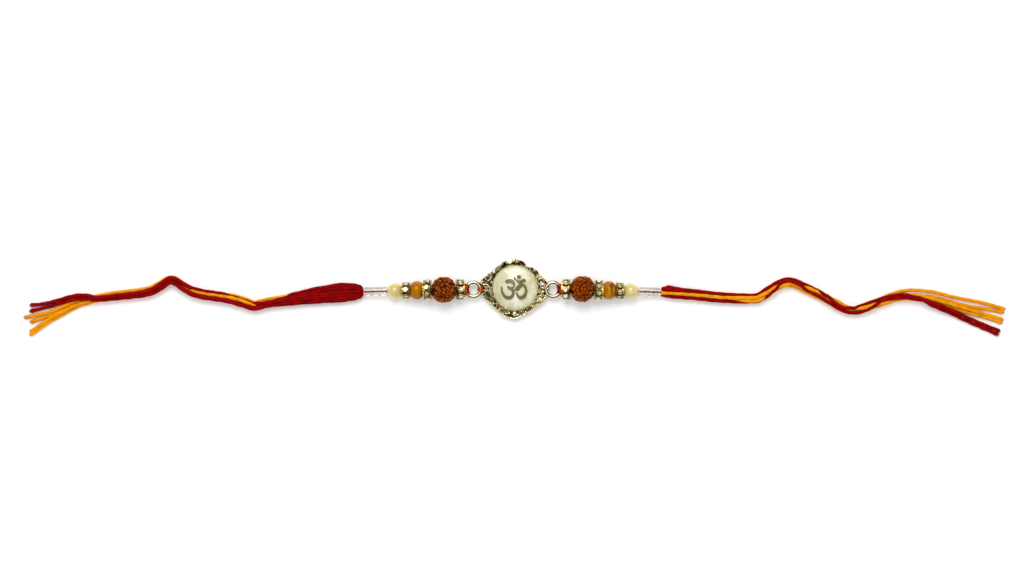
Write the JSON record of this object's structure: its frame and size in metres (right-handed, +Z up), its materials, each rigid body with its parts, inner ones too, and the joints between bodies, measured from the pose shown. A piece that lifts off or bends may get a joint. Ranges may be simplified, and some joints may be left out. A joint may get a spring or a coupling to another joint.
{
  "type": "rakhi thread bracelet",
  "caption": "Thread bracelet with a domed stone in a cast leaf frame, carved seed, pearl and glass beads on each side, and long red and yellow yarn tails for tying.",
  "frame": {"origin": "middle of the pendant's flat back, below the middle of the stone, on the surface the bracelet lies on", "axes": "+X along the bracelet to the picture's right, +Y across it to the picture's top, +Z up through the stone"},
  "size_m": [0.2841, 0.023, 0.0076],
  "materials": {
    "silver_casting": "polished, darkened in its recesses",
    "milky_stone": "polished",
    "olive_emblem": "dull",
    "gold_metal": "polished",
    "clear_crystal": "cut and polished",
    "brown_seed": "oiled",
    "ochre_gloss": "glossy",
    "cream_pearl": "pearly",
    "clear_glass": "polished",
    "yellow_yarn": "twisted yarn",
    "red_yarn": "twisted yarn"
  },
  "bodies": {
    "root": {"bead_thread_left": "red_yarn", "bead_thread_right": "red_yarn", "cabochon": "milky_stone", "glass_bead_1_left": "clear_glass", "glass_bead_1_right": "clear_glass", "glass_bead_2_left": "clear_glass", "glass_bead_2_right": "clear_glass", "glass_bead_3_left": "clear_glass", "glass_bead_3_right": "clear_glass", "ochre_bead_left": "ochre_gloss", "ochre_bead_right": "ochre_gloss", "om_dot": "olive_emblem", "om_emblem": "olive_emblem", "pearl_left": "cream_pearl", "pearl_right": "cream_pearl", "pendant_frame": "silver_casting", "red_end_1_left": "red_yarn", "red_end_1_right": "red_yarn", "red_end_2_left": "red_yarn", "red_end_2_right": "red_yarn", "rondelle_inner_left": "gold_metal", "rondelle_inner_right": "gold_metal", "rondelle_middle_left": "gold_metal", "rondelle_middle_right": "gold_metal", "rondelle_outer_left": "gold_metal", "rondelle_outer_right": "gold_metal", "rudraksha_left": "brown_seed", "rudraksha_right": "brown_seed", "stones_inner_left": "clear_crystal", "stones_inner_right": "clear_crystal", "stones_middle_left": "clear_crystal", "stones_middle_right": "clear_crystal", "stones_outer_left": "clear_crystal", "stones_outer_right": "clear_crystal", "tail_head_left": "red_yarn", "tail_head_right": "red_yarn", "tail_left": "red_yarn", "tail_right": "red_yarn", "yellow_end_1_left": "yellow_yarn", "yellow_end_1_right": "yellow_yarn", "yellow_end_2_left": "yellow_yarn", "yellow_end_2_right": "yellow_yarn", "yellow_end_3_left": "yellow_yarn", "yellow_end_3_right": "yellow_yarn", "yellow_end_4_left": "yellow_yarn", "yellow_end_4_right": "yellow_yarn"}
  },
  "joints": []
}
